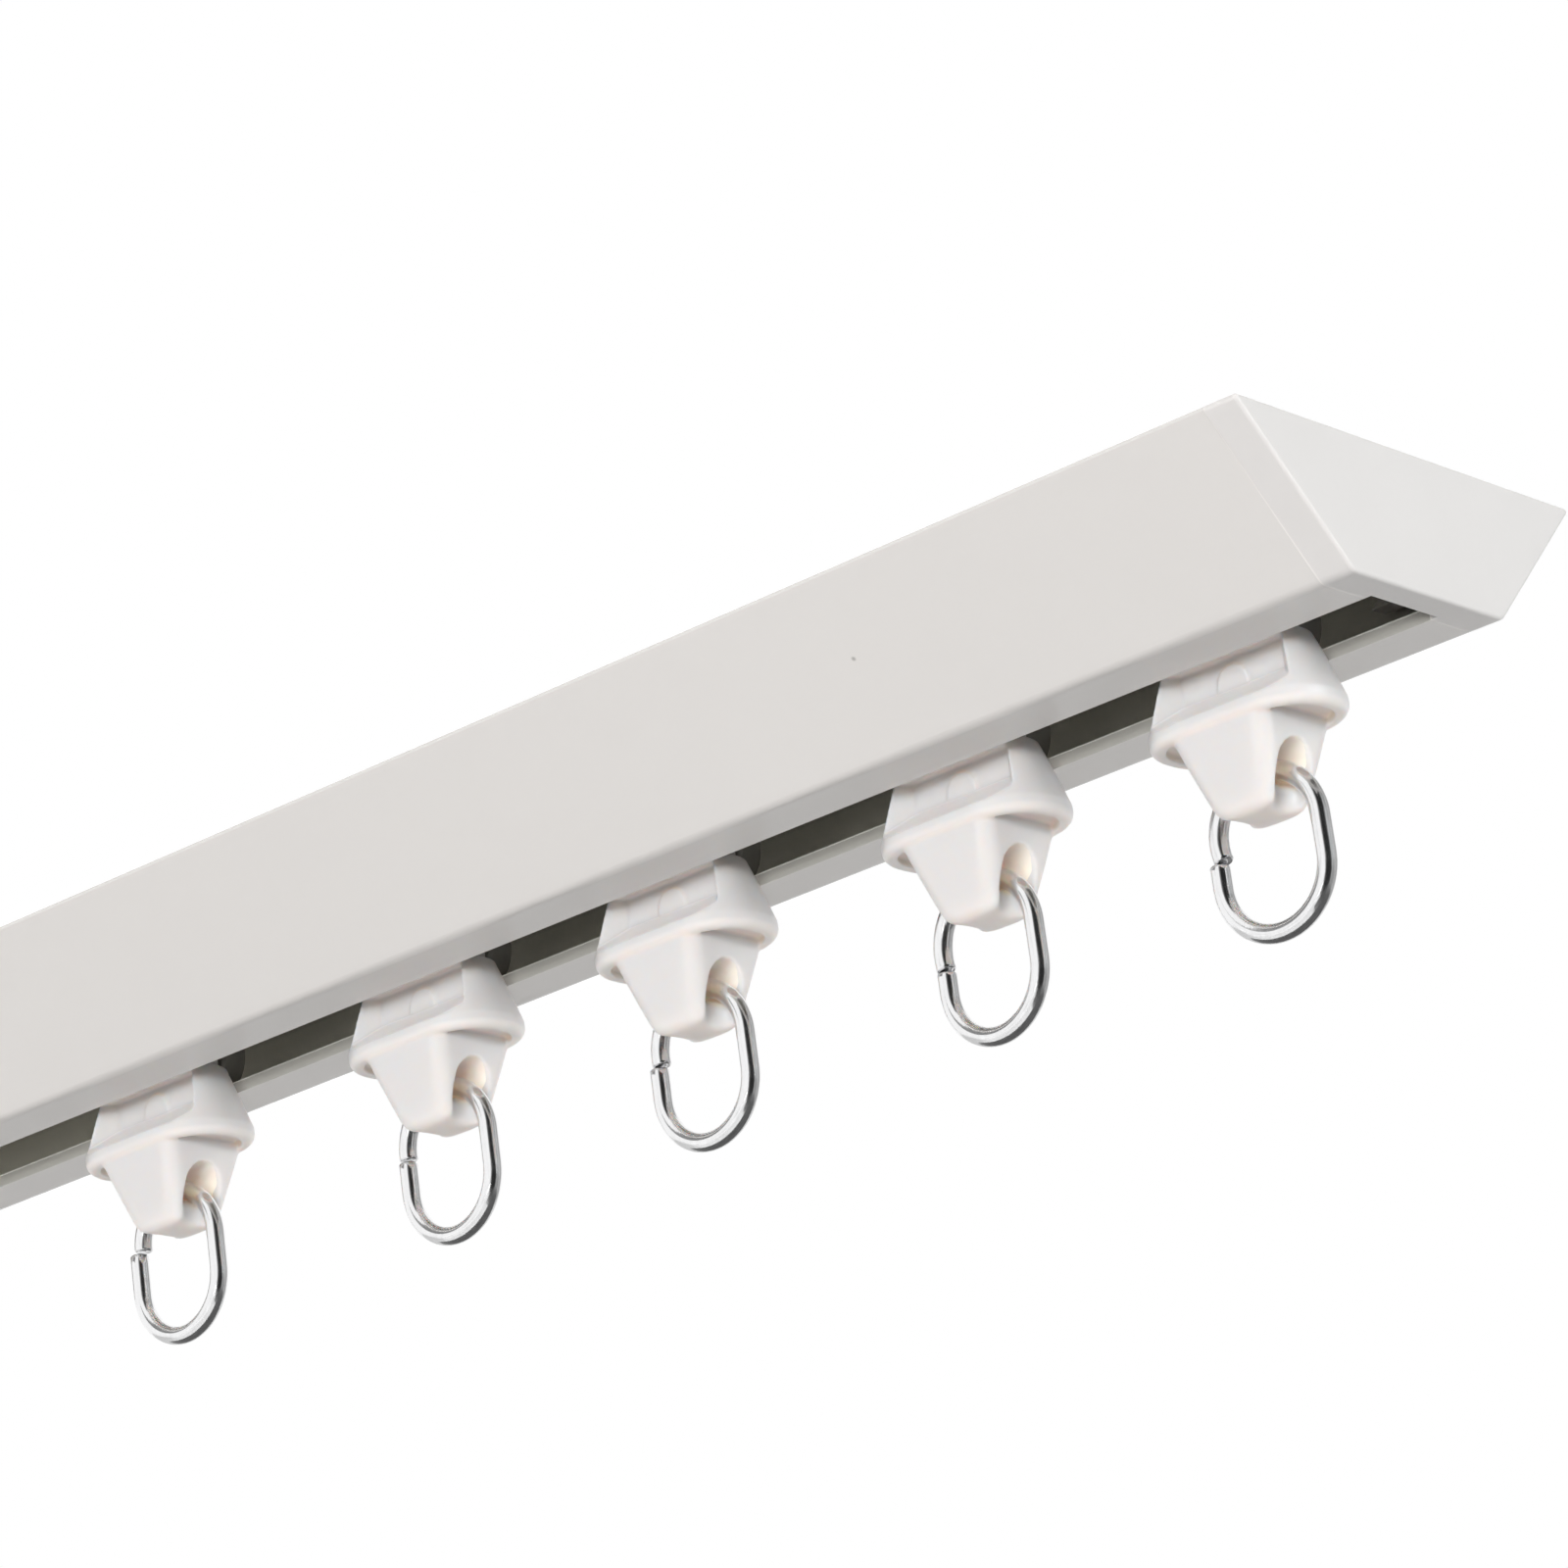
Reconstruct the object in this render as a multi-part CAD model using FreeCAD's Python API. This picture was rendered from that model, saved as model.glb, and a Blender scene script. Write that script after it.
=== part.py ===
import FreeCAD, Part
import math
import os

os.makedirs("parts", exist_ok=True)

# A ceiling curtain track: an extruded rail with a slot underneath, a cap on each end, and
# gliders that roll inside on wheel pairs and carry an oval wire ring each.
# Lengths are millimetres. The origin is the centre of the rail's top face, which goes
# against the ceiling. +X runs along the rail, +Z is up, and the front is at -Y.

# Rail section and length
TRACK_LENGTH = 200.0
TOP_WIDTH = 40.5
BOTTOM_WIDTH = 18.0
RAIL_HEIGHT = 11.0
WALL = 1.2
LIP = 1.0
SLOT_WIDTH = 8.0
BOTTOM_EDGE_RADIUS = 1.2
TOP_EDGE_RADIUS = 0.2

# Screw holes through the top wall
SCREW_HOLE_DIAMETER = 4.5
SCREW_SPACING = 140.0

# End caps
CAP_PLATE = 2.8
CAP_SLOT_NOTCH = 0.5
CAP_CORNER_RADIUS = 0.3
CAP_PROUD = 0.25
CAP_EDGE_RADIUS = 0.3
TONGUE_LENGTH = 9.0
TONGUE_THICKNESS = 1.6
TONGUE_HEIGHT = 4.6
TONGUE_TAPER = 0.6
CAP_FIT = 0.12

# Places of the gliders, measured from the right end of the track
GLIDER_FROM_RIGHT_END = (129.3, 98.6, 71.7, 42.5, 17.0)

# Glider: neck through the slot, and head between the wheels
SLOT_PLAY = 0.5
NECK_LENGTH = 12.9
NECK_TAPER = 0.7
NECK_RISE = 0.6
HEAD_LENGTH = 8.6
HEAD_WIDTH = 6.6
HEAD_ABOVE_AXLE = 2.6
HEAD_EDGE_RADIUS = 0.8

# Glider: skirt and flange below the rail
FLANGE_LENGTH = 15.4
FLANGE_WIDTH = 9.6
FLANGE_THICKNESS = 1.2
FLANGE_EDGE_RADIUS = 0.8
FLANGE_DROP = 4.95
RECESS_DEPTH = 0.7
RECESS_RIM = 1.15
CORNER_CLEAR = 0.35

# Glider: pocket in the front and back of the skirt, with a raised arch
POCKET_LENGTH = 9.2
POCKET_SPLAY = 0.76
POCKET_WEB = 2.0
POCKET_RAMP_DROP = 1.4
POCKET_LEDGE = 0.3
ARCH_WIDTH = 2.7
ARCH_PROUD = 0.2
ARCH_DROP = 1.0

# Glider: tapering eye body that the ring hangs in
EYE_WIDTH = 8.6
EYE_BOTTOM_WIDTH = 5.2
EYE_HEIGHT = 6.35
EYE_CORNER_RADIUS = 1.3
EYE_BOTTOM_RADIUS = 1.2

# Ring of round wire, with a butt joint in its left side
RING_WIDTH = 10.6
RING_HEIGHT = 13.5
WIRE_DIAMETER = 1.5
RING_TOP_DROP = 7.0
RING_JOINT_GAP = 0.12
RING_SIDE_PLAY = 1.05
RING_TOP_PLAY = 0.8
RING_SEAT_GAP = 0.1
SADDLE_LENGTH = 4.4
SADDLE_DROP = 0.95
GROOVE_BOTTOM_WIDTH = 2.0

# Each ring's joint: height above the bow, and how far the upper end stands inside the lower
RING_JOINTS = ((3.35, 0.6), (2.6, 0.15), (2.5, 0.35), (1.65, 0.05), (1.8, 0.45))
# How each ring happens to hang: degrees turned about the vertical, and shift along the rail
RING_POSES = ((-0.7, -0.25), (-1.3, 0.0), (-0.8, 0.25), (-3.5, -0.28), (1.3, 0.25))

# Wheel pair: the axle turns in the glider's head, and the wheels are pressed on it
AXLE_DIAMETER = 1.5
AXLE_RUNNING_GAP = 0.05
PRESS_GAP = 0.01
TREAD_GAP = 0.05
WHEEL_TOP_GAP = 2.35
WHEEL_LIP_OVERLAP = 0.2
WHEEL_WALL_GAP = 1.5
HUB_DIAMETER = 2.8
HUB_GAP = 0.15
WEB_RECESS = 0.6
RIM_THICKNESS = 0.8
TREAD_CHAMFER = 0.25
AXLE_CHAMFER = 0.2


def vec(x, y, z):
    return FreeCAD.Vector(x, y, z)


def polygon_face(points):
    return Part.Face(Part.makePolygon(list(points) + [points[0]]))


def slope():
    """How far a side wall moves out for each millimetre up."""
    return (TOP_WIDTH - BOTTOM_WIDTH) / 2 / RAIL_HEIGHT


def across(thickness):
    """Thickness of a sloping wall measured level, from its thickness square to the wall."""
    return thickness * math.hypot(1.0, slope())


def outer_half(z):
    return TOP_WIDTH / 2 + z * slope()


def inner_half(z):
    return outer_half(z) - across(WALL)


def edges_along_x(shape, places):
    """Straight edges along X that pass through one of the (y, z) places."""
    found = []
    for edge in shape.Edges:
        start, end = edge.Vertexes[0].Point, edge.Vertexes[-1].Point
        if abs(start.y - end.y) + abs(start.z - end.z) > 1e-6:
            continue
        if any(math.hypot(start.y - y, start.z - z) < 1e-4 for y, z in places):
            found.append(edge)
    return found


def level_edges(shape, z):
    """Every edge that lies wholly at height z."""
    return [e for e in shape.Edges if abs(e.BoundBox.ZMin - z) < 1e-4 and abs(e.BoundBox.ZMax - z) < 1e-4]


def rail_length():
    return TRACK_LENGTH - 2 * CAP_PLATE


def make_rail():
    base = -RAIL_HEIGHT
    half_slot = SLOT_WIDTH / 2
    right = [
        (half_slot, base),
        (BOTTOM_WIDTH / 2, base),
        (TOP_WIDTH / 2, 0.0),
    ]
    inside = [
        (inner_half(-WALL), -WALL),
        (inner_half(base + LIP), base + LIP),
        (half_slot, base + LIP),
    ]
    outline = right + [(-y, z) for y, z in reversed(right)]
    outline += [(-y, z) for y, z in reversed(inside)] + inside
    start = -rail_length() / 2
    body = polygon_face([vec(start, y, z) for y, z in outline]).extrude(vec(rail_length(), 0, 0))
    bottom = [(s * BOTTOM_WIDTH / 2, base) for s in (-1, 1)]
    top = [(s * TOP_WIDTH / 2, 0.0) for s in (-1, 1)]
    body = body.makeFillet(BOTTOM_EDGE_RADIUS, edges_along_x(body, bottom))
    body = body.makeFillet(TOP_EDGE_RADIUS, edges_along_x(body, top))
    for side in (-1, 1):
        hole = Part.makeCylinder(SCREW_HOLE_DIAMETER / 2, 2 * WALL, vec(side * SCREW_SPACING / 2, 0, -1.5 * WALL))
        body = body.cut(hole)
    return body


def cap_tongue(side):
    """Blade that slides in along one sloping wall, in the upper corner clear of the wheels."""
    high = -WALL - CAP_FIT
    low = high - TONGUE_HEIGHT
    blade = across(TONGUE_THICKNESS)

    def section(x, draw_in):
        outer = [(inner_half(z) - across(CAP_FIT) - draw_in, z) for z in (low, high)]
        inner = [(y - blade + 2 * draw_in, z) for y, z in reversed(outer)]
        points = [vec(x, side * y, z) for y, z in outer + inner]
        return Part.makePolygon(points + [points[0]])

    inside_face = TRACK_LENGTH / 2 - CAP_PLATE
    sections = [section(inside_face, 0.0), section(inside_face - TONGUE_LENGTH, TONGUE_TAPER / 2)]
    return Part.makeLoft(sections, True, True)


def make_right_cap():
    """End plate with two tongues. A notch in its inner face lengthens the rail's slot a little."""
    base = -RAIL_HEIGHT
    face_x = TRACK_LENGTH / 2
    top_half = TOP_WIDTH / 2 + CAP_PROUD
    corners = [(BOTTOM_WIDTH / 2, base), (top_half, 0.0), (-top_half, 0.0), (-BOTTOM_WIDTH / 2, base)]
    plate = polygon_face([vec(face_x - CAP_PLATE, y, z) for y, z in corners]).extrude(vec(CAP_PLATE, 0, 0))
    plate = plate.makeFillet(BOTTOM_EDGE_RADIUS, edges_along_x(plate, [corners[0], corners[3]]))
    plate = plate.makeFillet(CAP_CORNER_RADIUS, edges_along_x(plate, [corners[1], corners[2]]))
    rim = [e for e in plate.Edges if e.BoundBox.XMin > face_x - 1e-4]
    plate = plate.makeFillet(CAP_EDGE_RADIUS, rim)
    notch = Part.makeBox(CAP_SLOT_NOTCH, SLOT_WIDTH, LIP, vec(face_x - CAP_PLATE, -SLOT_WIDTH / 2, base))
    plate = plate.cut(notch)
    for side in (-1, 1):
        plate = plate.fuse(cap_tongue(side))
    return plate.removeSplitter()


def make_left_cap():
    return make_right_cap().mirror(vec(0, 0, 0), vec(1, 0, 0))


def rounded_section(half_x, half_y, radius, z):
    """Level rounded rectangle of four lines and four arcs."""
    diagonal = radius * (1 - math.sqrt(0.5))
    edges = []
    previous = None
    first = None
    for sx, sy in ((1, 1), (-1, 1), (-1, -1), (1, -1)):
        on_side = vec(sx * half_x, sy * (half_y - radius), z)
        on_front = vec(sx * (half_x - radius), sy * half_y, z)
        middle = vec(sx * (half_x - diagonal), sy * (half_y - diagonal), z)
        enter, leave = (on_side, on_front) if sx * sy > 0 else (on_front, on_side)
        if previous is not None:
            edges.append(Part.makeLine(previous, enter))
        else:
            first = enter
        edges.append(Part.Arc(enter, middle, leave).toShape())
        previous = leave
    edges.append(Part.makeLine(previous, first))
    return Part.Wire(edges)


def rounded_loft(sections):
    return Part.makeLoft([rounded_section(*s) for s in sections], True, True)


def wheel_radius():
    channel = RAIL_HEIGHT - WALL - LIP - TREAD_GAP
    return (channel - WHEEL_TOP_GAP) / 2


def axle_height():
    """Height of the axle above the rail's bottom face."""
    return LIP + TREAD_GAP + wheel_radius()


def ring_pivot_drop():
    """Depth of the wire's centre in the eye below the rail's bottom face."""
    return RING_TOP_DROP + WIRE_DIAMETER / 2


def make_skirt():
    """Neck that widens below the rail into the flange, with a pocket in its front and back."""
    half_neck = SLOT_WIDTH / 2 - SLOT_PLAY
    half_length = NECK_LENGTH / 2
    half_x, half_y = FLANGE_LENGTH / 2, FLANGE_WIDTH / 2
    low = -FLANGE_DROP
    rim_top = low + FLANGE_THICKNESS
    skirt = rounded_loft([
        (half_length - NECK_TAPER, half_neck, half_neck - CORNER_CLEAR, LIP + NECK_RISE),
        (half_length, half_neck, half_neck - CORNER_CLEAR, 0.0),
        (half_x, half_y, half_y - CORNER_CLEAR, rim_top),
        (half_x, half_y, half_y - CORNER_CLEAR, low),
    ])
    skirt = skirt.makeFillet(FLANGE_EDGE_RADIUS, level_edges(skirt, low))
    inner_x, inner_y = half_x - RECESS_RIM, half_y - RECESS_RIM
    recess = rounded_loft([(inner_x, inner_y, inner_y - CORNER_CLEAR, z) for z in (low, low + RECESS_DEPTH)])
    skirt = skirt.cut(recess)
    for side in (-1, 1):
        skirt = skirt.cut(make_pocket(side, rim_top))
    return skirt.fuse(make_arch(rim_top))


def make_pocket(side, rim_top):
    """Hollow whose floor slopes down to a ledge above the flange and whose ends splay outwards."""
    web = POCKET_WEB / 2
    outline = [
        (web, LIP),
        (FLANGE_WIDTH, LIP),
        (FLANGE_WIDTH, rim_top),
        (FLANGE_WIDTH / 2 - POCKET_LEDGE, rim_top),
        (web, -POCKET_RAMP_DROP),
    ]
    face = polygon_face([vec(-FLANGE_LENGTH, side * y, z) for y, z in outline])
    profile = face.extrude(vec(2 * FLANGE_LENGTH, 0, 0))
    inner = POCKET_LENGTH / 2
    outer = inner + (FLANGE_WIDTH - web) * POCKET_SPLAY
    plan = [(-inner, web), (inner, web), (outer, FLANGE_WIDTH), (-outer, FLANGE_WIDTH)]
    base = polygon_face([vec(x, side * y, rim_top) for x, y in plan])
    return profile.common(base.extrude(vec(0, 0, LIP - rim_top)))


def make_arch(low):
    """Round-topped pad that stands a little proud of the web in both pockets."""
    radius = ARCH_WIDTH / 2
    face = POCKET_WEB + 2 * ARCH_PROUD
    post = Part.makeBox(ARCH_WIDTH, face, -ARCH_DROP - low, vec(-radius, -face / 2, low))
    top = Part.makeCylinder(radius, face, vec(0, -face / 2, -ARCH_DROP), vec(0, 1, 0))
    return post.fuse(top)


def make_head():
    top = axle_height() + HEAD_ABOVE_AXLE
    section = (HEAD_LENGTH / 2, HEAD_WIDTH / 2, HEAD_WIDTH / 2 - CORNER_CLEAR - 1.0)
    head = rounded_loft([section + (LIP,), section + (top,)])
    return head.makeFillet(HEAD_EDGE_RADIUS, level_edges(head, top))


def make_eye():
    top = -FLANGE_DROP + RECESS_DEPTH
    bottom = -FLANGE_DROP - EYE_HEIGHT
    half_low = EYE_BOTTOM_WIDTH / 2
    taper = (EYE_WIDTH / 2 - half_low) / EYE_HEIGHT
    half_high = EYE_WIDTH / 2 + taper * RECESS_DEPTH
    eye = rounded_loft([(h, h, EYE_CORNER_RADIUS, z) for h, z in ((half_low, bottom), (half_high, top))])
    keep = Part.makeBox(EYE_WIDTH, EYE_WIDTH, EYE_HEIGHT + 1, vec(-EYE_WIDTH / 2, -EYE_WIDTH / 2, bottom))
    eye = eye.common(keep)
    return eye.makeFillet(EYE_BOTTOM_RADIUS, level_edges(eye, bottom))


def make_eye_opening():
    """Slot along X for the ring, with grooves down both ends that leave a saddle between them."""
    half_slot = WIRE_DIAMETER / 2 + RING_SIDE_PLAY
    hole_top = -(RING_TOP_DROP - RING_TOP_PLAY)
    saddle_top = -(ring_pivot_drop() + WIRE_DIAMETER / 2 + RING_SEAT_GAP)
    shoulder = saddle_top - SADDLE_DROP
    floor = -FLANGE_DROP - EYE_HEIGHT - 1.0
    centre = hole_top - half_slot
    start = -EYE_WIDTH
    arc = Part.Arc(vec(start, -half_slot, centre), vec(start, 0, hole_top), vec(start, half_slot, centre))
    sides = [
        vec(start, half_slot, centre),
        vec(start, half_slot, shoulder),
        vec(start, GROOVE_BOTTOM_WIDTH / 2, floor),
        vec(start, -GROOVE_BOTTOM_WIDTH / 2, floor),
        vec(start, -half_slot, shoulder),
        vec(start, -half_slot, centre),
    ]
    outline = Part.Wire([arc.toShape()] + Part.makePolygon(sides).Edges)
    slot = Part.Face(outline).extrude(vec(2 * EYE_WIDTH, 0, 0))
    return slot.cut(make_saddle(saddle_top, shoulder, floor))


def make_saddle(top, shoulder, floor):
    """Bar that the ring hangs on, crowned along X to clear the inside of the ring."""
    half = SADDLE_LENGTH / 2
    taper = (EYE_WIDTH - EYE_BOTTOM_WIDTH) / 2 / EYE_HEIGHT
    low_half = half - (shoulder - floor) * taper
    width = EYE_WIDTH
    y = -width / 2
    crown = Part.Arc(vec(half, y, shoulder), vec(0, y, top), vec(-half, y, shoulder)).toShape()
    under = [vec(-half, y, shoulder), vec(-low_half, y, floor), vec(low_half, y, floor), vec(half, y, shoulder)]
    return Part.Face(Part.Wire([crown] + Part.makePolygon(under).Edges)).extrude(vec(0, width, 0))


def make_glider_body():
    body = make_skirt()
    for piece in (make_head(), make_eye()):
        body = body.fuse(piece)
    body = body.cut(make_eye_opening())
    bore_radius = AXLE_DIAMETER / 2 + AXLE_RUNNING_GAP
    bore = Part.makeCylinder(bore_radius, HEAD_WIDTH * 2, vec(0, -HEAD_WIDTH, axle_height()), vec(0, 1, 0))
    return body.cut(bore).removeSplitter()


def wheel_faces():
    """Distance from the middle of the track to a wheel's inner and outer face."""
    inner = SLOT_WIDTH / 2 + WHEEL_LIP_OVERLAP
    outer = inner_half(-RAIL_HEIGHT + LIP) - WHEEL_WALL_GAP
    return inner, outer


def make_axle():
    half = wheel_faces()[1] - AXLE_CHAMFER
    height = axle_height()
    axle = Part.makeCylinder(AXLE_DIAMETER / 2, 2 * half, vec(0, -half, height), vec(0, 1, 0))
    ends = [e for e in axle.Edges if e.BoundBox.YLength < 1e-4]
    return axle.makeChamfer(AXLE_CHAMFER, ends)


def make_wheel(side):
    """Wheel turned about the axle: hub, recessed web and a rim with chamfered tread edges."""
    inner, outer = wheel_faces()
    radius = wheel_radius()
    hub_face = HEAD_WIDTH / 2 + HUB_GAP
    hub = HUB_DIAMETER / 2
    bore = AXLE_DIAMETER / 2 + PRESS_GAP
    rim = radius - RIM_THICKNESS
    profile = [
        (outer - TREAD_CHAMFER, radius),
        (inner + TREAD_CHAMFER, radius),
        (inner, radius - TREAD_CHAMFER),
        (inner, hub),
        (hub_face, hub),
        (hub_face, bore),
        (outer, bore),
        (outer, hub),
        (outer - WEB_RECESS, hub),
        (outer - WEB_RECESS, rim),
        (outer, rim),
        (outer, radius - TREAD_CHAMFER),
    ]
    wheel = polygon_face([vec(0, y, r) for y, r in profile]).revolve(vec(0, 0, 0), vec(0, 1, 0), 360)
    wheel.translate(vec(0, 0, axle_height()))
    if side < 0:
        wheel = wheel.mirror(vec(0, 0, 0), vec(0, 1, 0))
    return wheel


def make_ring(joint_height, step):
    """Wire bent into an oval. Its two ends meet in the left side, where the upper one stands in."""
    half = (RING_WIDTH - WIRE_DIAMETER) / 2
    crown = vec(0, 0, -ring_pivot_drop())
    top = crown.z - half
    low = -RING_TOP_DROP - RING_HEIGHT + WIRE_DIAMETER / 2 + half
    joint = low + joint_height
    upper_end = vec(step - half, 0, joint + RING_JOINT_GAP / 2)
    lower_end = vec(-half, 0, joint - RING_JOINT_GAP / 2)
    drop = crown.z - upper_end.z
    radius = (upper_end.x ** 2 + drop ** 2) / (2 * drop)
    centre = crown.z - radius
    sweep = math.pi / 2 + math.asin((centre - upper_end.z) / radius)
    middle = vec(-radius * math.sin(sweep / 2), 0, centre + radius * math.cos(sweep / 2))
    diagonal = half * math.sqrt(0.5)
    left = Part.Arc(upper_end, middle, crown).toShape()
    shoulder = Part.Arc(crown, vec(diagonal, 0, top + diagonal), vec(half, 0, top)).toShape()
    right = Part.makeLine(vec(half, 0, top), vec(half, 0, low))
    bow = Part.Arc(vec(half, 0, low), vec(0, 0, low - half), vec(-half, 0, low)).toShape()
    path = Part.Wire([left, shoulder, right, bow, Part.makeLine(vec(-half, 0, low), lower_end)])
    along = vec(math.cos(sweep), 0, math.sin(sweep))
    section = Part.Wire([Part.makeCircle(WIRE_DIAMETER / 2, upper_end, along)])
    return path.makePipeShell([section], True, False)


def posed(ring, degrees, shift):
    """The ring turned about the vertical line through its middle and shifted, as it happens to hang."""
    copy = ring.copy()
    copy.rotate(vec(0, 0, 0), vec(0, 0, 1), degrees)
    copy.translate(vec(shift, 0, 0))
    return copy


def placed(shape, x):
    """A glider piece, moved from its place under the origin to a glider's place."""
    copy = shape.copy()
    copy.translate(vec(x, 0, -RAIL_HEIGHT))
    return copy


def save(shape, node):
    shape.exportStep("parts/" + node + ".step")
    print(node, shape.isValid(), len(shape.Solids), round(shape.Volume, 2))


def main():
    save(make_rail(), "rail")
    save(make_right_cap(), "right_end_cap")
    save(make_left_cap(), "left_end_cap")
    pieces = {
        "glider_body": make_glider_body(),
        "wheel_axle": make_axle(),
        "front_wheel": make_wheel(-1),
        "rear_wheel": make_wheel(1),
    }
    for number, distance in enumerate(GLIDER_FROM_RIGHT_END, 1):
        x = TRACK_LENGTH / 2 - distance
        pieces["ring"] = posed(make_ring(*RING_JOINTS[number - 1]), *RING_POSES[number - 1])
        for name, shape in pieces.items():
            save(placed(shape, x), name + "_" + str(number))


main()
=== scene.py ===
import math

import bmesh
import bpy
from mathutils import Matrix, Vector


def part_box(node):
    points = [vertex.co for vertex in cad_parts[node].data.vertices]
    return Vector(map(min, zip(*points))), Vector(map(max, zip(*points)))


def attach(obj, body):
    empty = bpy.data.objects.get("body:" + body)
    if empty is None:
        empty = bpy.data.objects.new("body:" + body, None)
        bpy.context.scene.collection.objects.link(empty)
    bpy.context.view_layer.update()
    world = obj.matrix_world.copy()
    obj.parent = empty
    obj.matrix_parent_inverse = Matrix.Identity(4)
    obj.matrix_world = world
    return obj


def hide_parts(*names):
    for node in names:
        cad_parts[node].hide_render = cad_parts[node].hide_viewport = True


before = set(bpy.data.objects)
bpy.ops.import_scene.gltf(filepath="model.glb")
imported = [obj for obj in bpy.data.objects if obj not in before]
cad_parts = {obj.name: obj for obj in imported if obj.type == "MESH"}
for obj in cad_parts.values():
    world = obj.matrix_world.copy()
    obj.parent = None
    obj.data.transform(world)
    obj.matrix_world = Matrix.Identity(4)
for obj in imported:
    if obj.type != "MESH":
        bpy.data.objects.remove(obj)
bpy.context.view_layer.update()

bl_info = {
    "name": "Ceiling Curtain Track",
    "version": (1, 0, 0),
    "blender": (4, 5, 0),
    "location": "3D View > Sidebar > Track",
    "description": "Finishes a ceiling curtain track with end caps, wheeled gliders and wire rings",
    "category": "Object",
}

GLIDERS = range(1, 6)
WHITE = (1.0, 1.0, 1.0)

# Places on the rail in metres: half its width below, half its slot, and depths beneath its faces.
# The slot's half width and the lip-edge depth also bound the painted shade on the slot's edge faces
RAIL_FOOT = 0.0090
SLOT_EDGE = 0.0040
WALL_DEPTH = 0.0008
LIP_DEPTH = 0.0009
LIP_EDGE = 0.0012
# Width of the painted highlight along the seam at the rail's right end
SEAM_HIGHLIGHT_WIDTH = 0.00014
SLACK = 0.00001
SPECK = (0.0600, -0.0150, -0.0051)
SPECK_COLOUR = (0.16, 0.15, 0.14)

# Places on a glider in metres, which bound its painted glow and painted light: heights above the
# middle of its axle, and drops below its eye
EYE_RADIUS = 0.00180
EYE_CENTRE = -0.01225
EYE_FADE_START = 0.0004
EYE_FADE_END = 0.0016
RAMP_TOP = -0.0054
RAMP_FOOT = -0.0082

# Points on the parts of a ring's path, and sides of its wire
CROWN_POINTS = 30
SHOULDER_POINTS = 24
STRAIGHT_POINTS = 5
BOW_POINTS = 48
END_POINTS = 4
WIRE_SIDES = 28

# The photograph's camera: focal length in mm, yaw, pitch and roll in degrees, place in metres
LENS = 146.297
VIEW_ANGLES = (38.922, 18.920, 7.522)
VIEW_PLACE = (0.328013, -0.356762, -0.162779)

# Soft lamps: name, place, target, size, setting with their power, and their share of it
LAMPS = (
    ("key lamp", (0.90, -1.75, -0.30), (0.02, 0.0, -0.01), (1.1, 0.9), "key", 1.0),
    ("side lamp", (1.10, 0.36, 0.22), (0.09, 0.0, -0.01), (0.5, 0.5), "side", 1.0),
    ("slot lamp", (-0.15, -0.60, -0.30), (0.0, 0.0, -0.01), (0.4, 0.4), "slot", 1.0),
    ("back lamp", (0.0, 0.50, -0.02), (0.0, 0.0, -0.01), (0.4, 0.3), "behind", 1.0),
    ("left lamp", (-0.60, 0.0, -0.02), (-0.10, 0.0, -0.01), (0.3, 0.3), "behind", 0.8),
    ("top lamp", (0.0, 0.0, 0.30), (0.0, 0.0, 0.0), (0.4, 0.3), "behind", 0.25),
)
MIRRORED_LAMP = "side lamp"
MIRRORED_TINT = (0.93, 0.98, 1.0)

# Cards that only mirrors see, and the floor's glow for the camera, mirrors and clear materials.
# Upright cards: name, azimuth in degrees, width, lower edge (None is just above the floor),
# upper edge, and glow in the middle and at the sides
CARD_REACH = 0.55
CARD_CENTRE = 0.04
CARD_LIFT = 0.01
UPRIGHT_CARDS = (
    ("front card", -31.0, 0.85, None, 0.75, 0.012, 0.36),
    ("right card", 20.0, 0.42, None, 0.55, 0.28, 0.34),
    ("far right card", 62.0, 0.42, None, 0.55, 0.36, 0.55),
    ("bright card", -118.0, 0.60, None, 0.0, 0.95, 0.95),
    ("upper left card", -150.0, 0.85, 0.22, 0.95, 0.22, 0.32),
)
# Flat cards: name, place, size, and glow in the middle and at the sides
FLAT_CARDS = (
    ("floor card", (0.06, 0.17), (1.20, 0.58), 0.09, 0.20),
    ("front floor card", (0.46, -0.25), (0.52, 0.40), 0.08, 0.20),
)
FLOOR_SIZE = 6.0
FLOOR_GLOW = 0.40


def middle_of(node):
    low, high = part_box(node)
    return (low + high) / 2


# Settings that a user would change

class TrackRailSettings(bpy.types.PropertyGroup):
    paint: bpy.props.FloatVectorProperty(
        name="Paint", description="Colour of the painted rail", subtype="COLOR",
        size=3, min=0.0, max=1.0, default=(0.700, 0.674, 0.652))
    inside: bpy.props.FloatVectorProperty(
        name="Inside", description="Colour of the bare metal inside the channel", subtype="COLOR",
        size=3, min=0.0, max=1.0, default=(0.920, 0.900, 0.830))
    cap: bpy.props.FloatVectorProperty(
        name="Cap", description="Colour of the moulded end caps", subtype="COLOR",
        size=3, min=0.0, max=1.0, default=(0.712, 0.688, 0.672))
    gloss: bpy.props.FloatProperty(
        name="Paint Roughness", description="Roughness of the paint film",
        min=0.0, max=1.0, default=0.13)


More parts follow.
